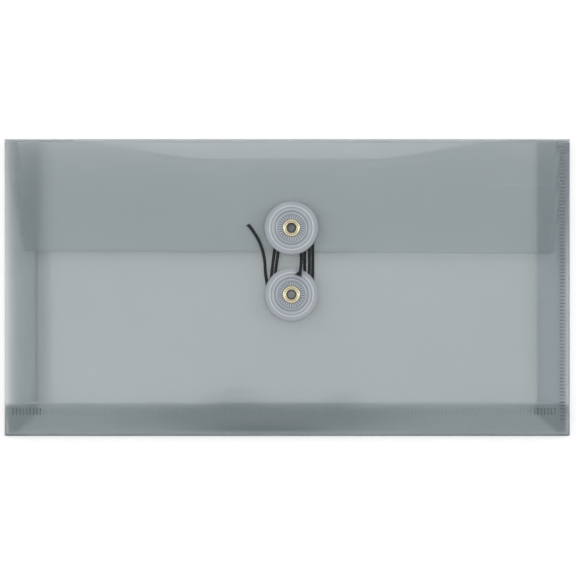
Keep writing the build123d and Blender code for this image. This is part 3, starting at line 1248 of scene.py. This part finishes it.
# A bar's corners are counted round its foot, then round its top
BAR_FACES = [(3, 2, 1, 0), (4, 5, 6, 7), (0, 1, 5, 4), (1, 2, 6, 5), (2, 3, 7, 6), (3, 0, 4, 7)]


def weld_marks(name, band, first, last, place, shows):
    """A row of low bars across a band of the front panel's face. shows says how plain a bar is there."""
    points, faces = [], []
    count = int((last - first) / WELD_PITCH)
    for n in range(count):
        middle = first + WELD_PITCH * (n + 0.5)
        base = len(points)
        for lift, shrink in ((0.0, 0.0), (WELD_HEIGHT, WELD_HEIGHT)):
            for inward, along in ((0, -1), (1, -1), (1, 1), (0, 1)):
                d = band[inward] + (shrink if inward == 0 else -shrink)
                a = middle + along * (WELD_BAR / 2 - shrink)
                points.append(place(d, a, front_high.z + lift))
        faces += counted_from(base, BAR_FACES)
    marks = new_piece(name, points, faces, bar_material)
    marks.data.shade_flat()
    paint(marks, "dense", lambda p, normal: WELD_DENSE)
    paint(marks, "clear", lambda p, normal: 1 - shows(p))
    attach(marks, "front")


def side_pressed(p):
    """The side seam is pressed evenly, and hardly at all in the lower corner."""
    return SIDE_PRESS * smooth_step(*SIDE_PRESS_ENDS, p.y + top_y)


def bottom_pressed(p):
    """The bottom seam is pressed hardest over the corner tucks, and lightly between them."""
    near_end = smooth_step(WELD_END_REACH, WELD_END_REACH - BOTTOM_PRESS_FADE, from_side(p))
    return BOTTOM_PRESS + BOTTOM_END_PRESS * near_end


side_run = (front_low.y + WELD_PITCH, front_high.y - WELD_PITCH)
bottom_run = (WELD_START - side_x, side_x - SIDE_WELD[1])
weld_marks("side_weld", SIDE_WELD, *side_run, right_place, side_pressed)
weld_marks("bottom_weld", BOTTOM_WELD, *bottom_run, bottom_place, bottom_pressed)


# Buttons
def revolved(name, profile, segments, centre, material, press):
    """A closed ring swept from a closed profile of (radius, height). press says how far a point is
    pressed out and down, given its radius, its height and the number of its segment."""
    points, faces = [], []
    count = len(profile)
    for s in range(segments):
        angle = math.tau * s / segments
        for radius, height in profile:
            out, down = press(radius, height, s)
            reach = radius + out
            points.append(
                (centre[0] + reach * math.cos(angle), centre[1] + reach * math.sin(angle), height - down)
            )
    for s in range(segments):
        after = (s + 1) % segments
        for n in range(count):
            m = (n + 1) % count
            faces.append((s * count + n, after * count + n, after * count + m, s * count + m))
    return new_piece(name, points, faces, material)


NECK_RADIUS = 3.05
NECK_HEIGHT = 2.8
DISC_THICKNESS = 0.9
BOSS_RADIUS = 6.4
BOSS_HEIGHT = 0.6
RUNNING_CLEARANCE = 0.05
KNURL_TEETH = 30
TOOTH_SEGMENTS = 4
KNURL_DEPTH = 0.25
KNURL_FROM = 4.25
KNURL_TO = 5.75
EDGE_ROUND = 0.12
ROUND_STEPS = 6

# The disc's face outside its boss: radius, height over the face, and how milky it is there, which
# holds painted highlight on the ridges and painted shade in the grooves. The first ring is the end of
# the rim's round
FACE_RINGS = [
    (11.6, 0.0, 0.36),
    (11.3, 0.0, 0.42),
    (10.5, 0.0, 0.46),
    (10.1, 0.05, 0.55),
    (9.9, 0.24, 1.0),
    (9.6, 0.24, 1.0),
    (9.4, 0.0, 0.45),
    (9.15, -0.08, 0.28),
    (8.85, 0.0, 0.42),
    (8.5, 0.1, 0.55),
    (8.05, 0.08, 0.52),
    (7.7, -0.08, 0.3),
    (7.45, -0.22, 0.12),
    (7.2, -0.22, 0.12),
    (7.0, 0.1, 0.4),
    (6.8, 0.26, 0.6),
    (6.55, 0.26, 0.6),
]
RIM_RADIUS = 10.3
# How milky the knurl's crowns, its gaps and the boss's edge are: painted highlight on the crowns, painted
# shade in the gaps and at the edge
KNURL_CROWN_MILK = 0.48
KNURL_GAP_MILK = 0.0
BOSS_EDGE_MILK = 0.2


def boss_level(sheet_top):
    """The height of a boss's face over the table."""
    return sheet_top + NECK_HEIGHT + DISC_THICKNESS + BOSS_HEIGHT


def disc_profile(sheet_top):
    """Half section of a button: neck, thin rim with a full round edge, ringed face, boss."""
    under = sheet_top + NECK_HEIGHT
    top = under + DISC_THICKNESS
    boss = boss_level(sheet_top)
    rim = DISC_THICKNESS / 2
    profile = [(EYELET_BORE, sheet_top + RUNNING_CLEARANCE), (NECK_RADIUS, sheet_top + RUNNING_CLEARANCE)]
    profile += arc((NECK_RADIUS + rim, under - rim), rim, 180, 90, ROUND_STEPS)
    profile += arc((disc_radius - rim, under + rim), rim, -90, 90, 2 * ROUND_STEPS)
    profile += [(radius, top + height) for radius, height, _ in FACE_RINGS[1:]]
    profile += arc((BOSS_RADIUS - EDGE_ROUND, boss - EDGE_ROUND), EDGE_ROUND, 0, 90, ROUND_STEPS)
    knurl_middle = (KNURL_FROM + KNURL_TO) / 2
    edge_radii = [BOSS_RADIUS - 2 * EDGE_ROUND, KNURL_TO + EDGE_ROUND]
    profile += [(radius, boss) for radius in edge_radii + [KNURL_TO, knurl_middle, KNURL_FROM, EYELET_BORE]]
    return profile


def knurl(boss):
    """Lowers every other half tooth of the boss's face round the eyelet."""

    def press(radius, height, segment):
        on_face = abs(height - boss) < KNURL_DEPTH / 10 and KNURL_FROM <= radius <= KNURL_TO
        in_gap = segment % TOOTH_SEGMENTS >= TOOTH_SEGMENTS / 2
        return (0, KNURL_DEPTH) if on_face and in_gap else (0, 0)

    return press


def milkiness(centre, boss):
    """How milky a place on a disc is, with its painted highlight and shade: by its ring on the face, by its
    height on the boss.
    """

    def value_at(p, normal):
        radius = radius_from(p, centre)
        if KNURL_TO + EDGE_ROUND / 2 < radius < BOSS_RADIUS + EDGE_ROUND:
            return BOSS_EDGE_MILK
        if radius < BOSS_RADIUS:
            return KNURL_CROWN_MILK if p.z > boss - KNURL_DEPTH / 2 else KNURL_GAP_MILK
        _, _, milk = min(FACE_RINGS, key=lambda ring: abs(ring[0] - radius))
        return milk

    return value_at


def solidness(centre):
    """How opaque a place on a disc is: the thin rim lets what is behind show, the boss does not."""

    def value_at(p, normal):
        radius = radius_from(p, centre)
        return smooth_step(RIM_RADIUS, BOSS_RADIUS, radius)

    return value_at


ROLL_STEPS = 5
EYELET_SEGMENTS = 96
EYELET_HOLE = 2.18
EYELET_REAR_HOLE = 1.55
EYELET_LOBES = 6
EYELET_LOBE = 0.07
EYELET_FLANGE_HEIGHT = 0.2
EYELET_GROOVE_SHARE = 0.4
eyelet_groove = EYELET_HOLE + EYELET_GROOVE_SHARE * (flange_radius - EYELET_HOLE)
# Painted shade in the groove and at the outer foot: how much, and over what width
GROOVE_SHADE = 0.5
GROOVE_WIDTH = 0.16
FOOT_SHADE = 0.8
FOOT_WIDTH = 0.22


def eyelet_profile(sheet_top):
    """Half section of a set eyelet: a flange rolled in two beads, a barrel that narrows towards the
    rear, and a flat flange behind the film."""
    barrel, back_radius, back_thickness = 2.5, 3.6, 0.3
    bead_height = 0.35
    outer_bead = (eyelet_groove, flange_radius, 0, 150)
    inner_bead = (EYELET_HOLE, eyelet_groove, 50, 180)
    seat = boss_level(sheet_top) + RUNNING_CLEARANCE
    behind = sheet_top - film
    low = seat + EYELET_FLANGE_HEIGHT
    profile = [(EYELET_REAR_HOLE, behind - back_thickness), (back_radius, behind - back_thickness)]
    profile += [(back_radius, behind), (barrel, behind), (barrel, seat)]
    profile += [(flange_radius - EYELET_FLANGE_HEIGHT, seat)]
    for inner, outer, first, last in (outer_bead, inner_bead):
        half_width = (outer - inner) / 2
        bead = arc((0, 0), 1.0, first, last, ROLL_STEPS)
        profile += [(inner + half_width * (1 + x), low + bead_height * y) for x, y in bead]
    return profile


def lobed(seat):
    """Presses the eyelet's inner bead in and out, as setting it leaves it."""

    def press(radius, height, segment):
        on_bead = height > seat and radius < (EYELET_HOLE + flange_radius) / 2
        wave = EYELET_LOBE * math.cos(math.tau * EYELET_LOBES * segment / EYELET_SEGMENTS)
        return (wave, 0) if on_bead else (0, 0)

    return press


def tarnish(centre):
    """How much painted shade the eyelet has: all its bore, the groove between its beads and its outer foot.
    """

    def value_at(p, normal):
        radius = radius_from(p, centre)
        in_bore = smooth_step(EYELET_HOLE + 2 * EYELET_LOBE, EYELET_HOLE - EYELET_LOBE, radius)
        in_groove = GROOVE_SHADE * math.exp(-(((radius - eyelet_groove) / GROOVE_WIDTH) ** 2))
        at_foot = FOOT_SHADE * smooth_step(flange_radius - FOOT_WIDTH, flange_radius, radius)
        return max(in_bore, in_groove, at_foot)

    return value_at


def button(name, sheet_top, centre, disc_body, eyelet_body):
    """A ringed disc and the eyelet that it turns on."""
    boss = boss_level(sheet_top)
    place = (centre.x, centre.y)
    disc = revolved(
        f"{name}_ringed_disc",
        disc_profile(sheet_top),
        KNURL_TEETH * TOOTH_SEGMENTS,
        place,
        disc_material,
        knurl(boss),
    )
    paint(disc, "milky", milkiness(place, boss))
    paint(disc, "solid", solidness(place))
    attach(disc, disc_body)
    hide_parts(f"{name}_disc")
    ring = revolved(
        f"{name}_rolled_eyelet",
        eyelet_profile(sheet_top),
        EYELET_SEGMENTS,
        place,
        brass_material,
        lobed(boss),
    )
    paint(ring, "tarnish", tarnish(place))
    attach(ring, eyelet_body)
    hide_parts(f"{name}_eyelet")


button("upper", flap_high.z, upper_button, "upper_button", "flap_leaf")
button("lower", front_high.z, lower_button, "lower_button", "front")


# Stage: a white sweep that the envelope lies on, and soft light from three panels and the room. The
# floor's size is in metres
FLOOR_SIZE = 8.0
FLOOR_DROP = 0.1 * MM
FLOOR_LIFT = 0.56
ROOM_LEVEL = 0.45


def seen_directly(tree):
    """1 for what the camera, a mirror or glass sees, 0 for the light that falls on the envelope."""
    path = add_node(tree, "LightPath", {}).outputs
    seen = path["Is Camera Ray"]
    for ray in ("Is Glossy Ray", "Is Transmission Ray"):
        seen = add_node(tree, "Math", {0: seen, 1: path[ray]}, operation="MAXIMUM").outputs[0]
    return seen


def white_sweep():
    """Matt white paper. What the camera and mirrors see of it is lifted to pure white."""
    material, tree = new_material("white_paper_sweep")
    lift = add_node(tree, "Math", {0: seen_directly(tree), 1: FLOOR_LIFT}, operation="MULTIPLY")
    surface = add_node(
        tree,
        "BsdfPrincipled",
        {
            "Base Color": colour("#c8c8c8"),
            "Roughness": 0.9,
            "Specular IOR Level": 0.1,
            "Emission Color": colour("#ffffff"),
            "Emission Strength": lift.outputs[0],
        },
    )
    add_node(tree, "OutputMaterial", {"Surface": surface.outputs[0]})
    return material


floor_half = FLOOR_SIZE / 2
floor_mesh = bpy.data.meshes.new("floor")
floor_signs = [(-1, -1), (1, -1), (1, 1), (-1, 1)]
floor_corners = [(x * floor_half, y * floor_half, -FLOOR_DROP) for x, y in floor_signs]
floor_mesh.from_pydata(floor_corners, [], [(0, 1, 2, 3)])
floor_mesh.materials.append(white_sweep())
floor = add_object("floor", floor_mesh)

# Light panels: place in metres, width and height in metres, watts
LIGHT_PANELS = {
    "panel_left": ((-1.1, 0.2, 1.1), 0.6, 1.4, 5.5),
    "panel_right": ((1.1, 0.2, 1.1), 0.6, 1.4, 5.5),
    "panel_over": ((0.0, 0.4, 1.8), 2.4, 2.4, 10.0),
}
for name, (place, width, height, watts) in LIGHT_PANELS.items():
    light = bpy.data.lights.new(name, "AREA")
    light.shape = "RECTANGLE"
    light.size = width
    light.size_y = height
    light.energy = watts
    lamp = add_object(name, light)
    lamp.location = place
    lamp.rotation_euler = (-Vector(place)).to_track_quat("-Z", "Y").to_euler()

world = bpy.data.worlds.new("soft_room")
bpy.context.scene.world = world
world.use_nodes = True
room = world.node_tree
room.nodes.clear()
room_level = add_node(
    room, "MapRange", {"Value": seen_directly(room), "To Min": ROOM_LEVEL, "To Max": 1.0}
)
room_light = add_node(
    room, "Background", {"Color": colour("#ffffff"), "Strength": room_level.outputs["Result"]}
)
add_node(room, "OutputWorld", {"Surface": room_light.outputs[0]})

scene = bpy.context.scene
scene.view_settings.view_transform = "Standard"
scene.cycles.transparent_max_bounces = 64
scene.cycles.max_bounces = 16
